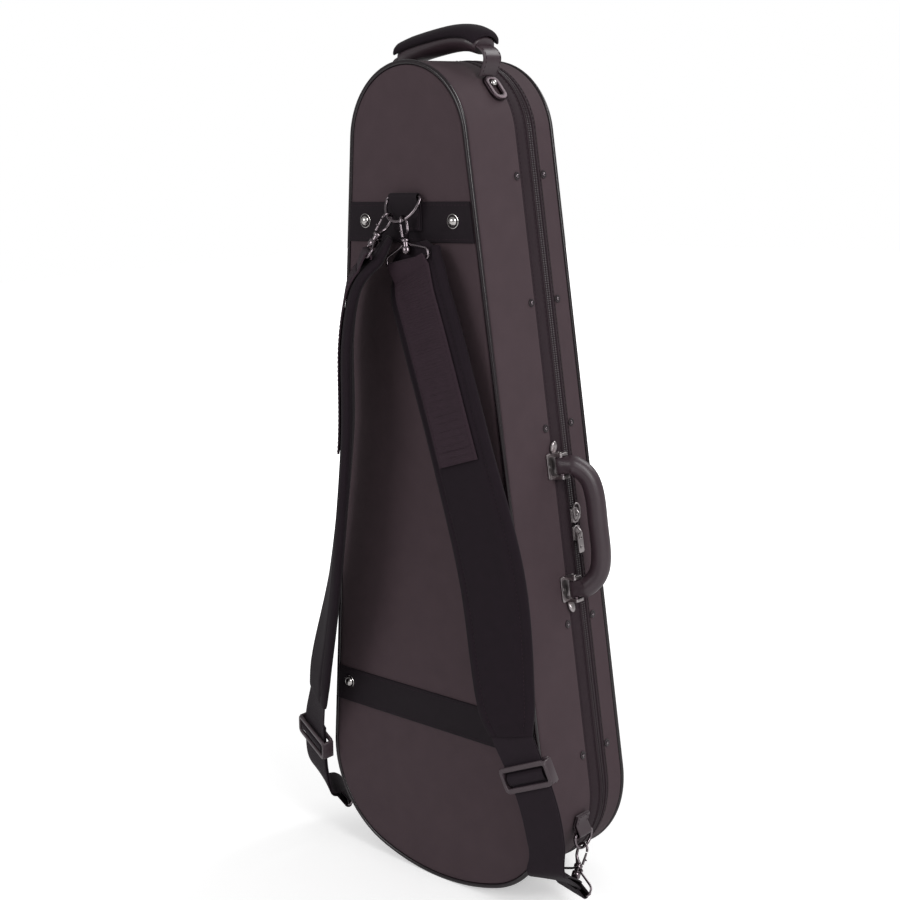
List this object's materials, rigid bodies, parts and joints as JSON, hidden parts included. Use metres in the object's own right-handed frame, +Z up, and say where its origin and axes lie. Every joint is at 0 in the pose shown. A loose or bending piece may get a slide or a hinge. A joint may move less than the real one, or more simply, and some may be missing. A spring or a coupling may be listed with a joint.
{
  "type": "viola_case",
  "caption": "Shaped viola case with padded backpack straps, a side handle, a top handle and a hinged lid closed by a zip, standing on its wide end",
  "frame": {"origin": "On the flat at the middle of the bottom end of the back shell, half way through the depth of the case", "axes": "+Z up along the case towards its narrow end, +Y through the depth from the strap side to the front of the lid, +X across towards the side handle"},
  "size_m": [0.3621, 0.1871, 0.812],
  "materials": {
    "canvas": "woven taupe-grey canvas over a stiff foam shell",
    "piping_vinyl": "glossy dark vinyl",
    "zip_nylon": "woven nylon tape and coil",
    "band_webbing": "black webbing",
    "nickel": "bright nickel",
    "gunmetal": "dark plated metal",
    "strap_pad": "matte padded fabric",
    "strap_webbing": "ribbed webbing",
    "handle_vinyl": "satin vinyl",
    "glide_plastic": "moulded plastic",
    "plush": "short plush"
  },
  "bodies": {
    "case": {"back_shell": "canvas", "back_piping": "piping_vinyl", "back_zip": "zip_nylon", "back_lining": "plush", "upper_band": "band_webbing", "lower_band": "band_webbing", "top_ring_loop": "band_webbing", "top_ring": "gunmetal", "top_hook_left": "gunmetal", "top_hook_right": "gunmetal", "low_hook_left": "gunmetal", "low_hook_right": "gunmetal", "top_eye_left": "gunmetal", "top_eye_right": "gunmetal", "low_eye_left": "gunmetal", "low_eye_right": "gunmetal", "strap_pad_left": "strap_pad", "strap_pad_right": "strap_pad", "ribbed_webbing_left": "strap_webbing", "ribbed_webbing_right": "strap_webbing", "lower_webbing_left": "strap_webbing", "lower_webbing_right": "strap_webbing", "lower_ring_loop_left": "handle_vinyl", "lower_ring_loop_right": "handle_vinyl", "lower_ring_left": "gunmetal", "lower_ring_right": "gunmetal", "upper_handle_bracket": "nickel", "lower_handle_bracket": "nickel", "handle_pin_upper": "nickel", "handle_pin_lower": "nickel", "top_handle_stud_left": "nickel", "top_handle_stud_right": "nickel", "back_hinge_leaf": "nickel", "hinge_pin": "nickel", "accessory_box": "plush"},
    "lid": {"lid_shell": "canvas", "lid_piping": "piping_vinyl", "lid_zip": "zip_nylon", "front_pad": "canvas", "lid_hinge_leaf": "nickel"},
    "side_handle": {"side_handle": "handle_vinyl"},
    "top_handle": {"top_handle_grip": "handle_vinyl", "top_handle_wrap": "strap_pad", "top_handle_strap_left": "handle_vinyl", "top_handle_strap_right": "handle_vinyl", "top_handle_frame_left": "gunmetal", "top_handle_frame_right": "gunmetal"},
    "upper_slider": {"upper_zip_slider": "nickel"},
    "lower_slider": {"lower_zip_slider": "nickel"},
    "ring_pull": {"ring_pull": "nickel"},
    "tab_pull": {"tab_pull": "gunmetal"},
    "top_gate_left": {"top_gate_left": "gunmetal"},
    "top_gate_right": {"top_gate_right": "gunmetal"},
    "low_gate_left": {"low_gate_left": "gunmetal"},
    "low_gate_right": {"low_gate_right": "gunmetal"},
    "tri_glide_left": {"tri_glide_left": "glide_plastic"},
    "tri_glide_right": {"tri_glide_right": "glide_plastic"},
    "accessory_lid": {"accessory_lid": "plush"},
    "bow_clip_left": {"bow_clip_left": "glide_plastic"},
    "bow_clip_right": {"bow_clip_right": "glide_plastic"}
  },
  "joints": [
    {"name": "lid_hinge", "type": "hinge", "parent": "case", "child": "lid", "pos_m": [-0.11018, 0.0229, 0.40035], "axis": [0.1118, 0, 0.9937], "range_deg": [0, 105]},
    {"name": "side_handle_swing", "type": "hinge", "parent": "case", "child": "side_handle", "pos_m": [0.12082, 0.00345, 0.35851], "axis": [-0.1118, 0, 0.9937], "range_deg": [-110, 20]},
    {"name": "top_handle_lift", "type": "slide", "parent": "case", "child": "top_handle", "axis": [0, 0, 1], "range_m": [0, 0.006]},
    {"name": "upper_zip_slide", "type": "slide", "parent": "case", "child": "upper_slider", "axis": [-0.1118, 0, 0.9937], "range_m": [0, 0.28]},
    {"name": "lower_zip_slide", "type": "slide", "parent": "case", "child": "lower_slider", "axis": [0.1118, 0, -0.9937], "range_m": [0, 0.19]},
    {"name": "ring_pull_flip", "type": "hinge", "parent": "upper_slider", "child": "ring_pull", "pos_m": [0.1163, 0.0229, 0.36559], "axis": [0, 1, 0], "range_deg": [0, 120]},
    {"name": "tab_pull_flip", "type": "hinge", "parent": "lower_slider", "child": "tab_pull", "pos_m": [0.11822, 0.0229, 0.34859], "axis": [0, -1, 0], "range_deg": [0, 60]},
    {"name": "top_gate_right_press", "type": "hinge", "parent": "case", "child": "top_gate_right", "pos_m": [0.01161, -0.0852, 0.62719], "axis": [-0.9709, -0.1727, -0.1662], "range_deg": [0, 11], "stiffness_Nm_per_rad": 0.02, "springref_deg": -11.46},
    {"name": "low_gate_right_press", "type": "hinge", "parent": "case", "child": "low_gate_right", "pos_m": [0.14589, -0.01728, 0.04004], "axis": [0.0279, -0.9376, 0.3467], "range_deg": [0, 11], "stiffness_Nm_per_rad": 0.02, "springref_deg": -11.46},
    {"name": "top_gate_left_press", "type": "hinge", "parent": "case", "child": "top_gate_left", "pos_m": [-0.01908, -0.0876, 0.6331], "axis": [-0.9121, 0.2094, 0.3525], "range_deg": [0, 11], "stiffness_Nm_per_rad": 0.02, "springref_deg": -11.46},
    {"name": "low_gate_left_press", "type": "hinge", "parent": "case", "child": "low_gate_left", "pos_m": [-0.14614, -0.02013, 0.04148], "axis": [0.3054, -0.8474, 0.4344], "range_deg": [0, 11], "stiffness_Nm_per_rad": 0.02, "springref_deg": -11.46},
    {"name": "tri_glide_right_slide", "type": "slide", "parent": "case", "child": "tri_glide_right", "axis": [0.3675, 0.0694, -0.9274], "range_m": [-0.006, 0.006]},
    {"name": "tri_glide_left_slide", "type": "slide", "parent": "case", "child": "tri_glide_left", "axis": [-0.3086, 0.2353, -0.9216], "range_m": [-0.006, 0.006]},
    {"name": "accessory_lid_hinge", "type": "hinge", "parent": "case", "child": "accessory_lid", "pos_m": [0.026, -0.0043, 0.545], "axis": [0, 0, 1], "range_deg": [0, 70]},
    {"name": "bow_clip_left_turn", "type": "hinge", "parent": "lid", "child": "bow_clip_left", "pos_m": [-0.045, 0.0473, 0.19], "axis": [0, 1, 0], "range_deg": [-90, 90]},
    {"name": "bow_clip_right_turn", "type": "hinge", "parent": "lid", "child": "bow_clip_right", "pos_m": [0.045, 0.0473, 0.19], "axis": [0, 1, 0], "range_deg": [-90, 90]}
  ]
}
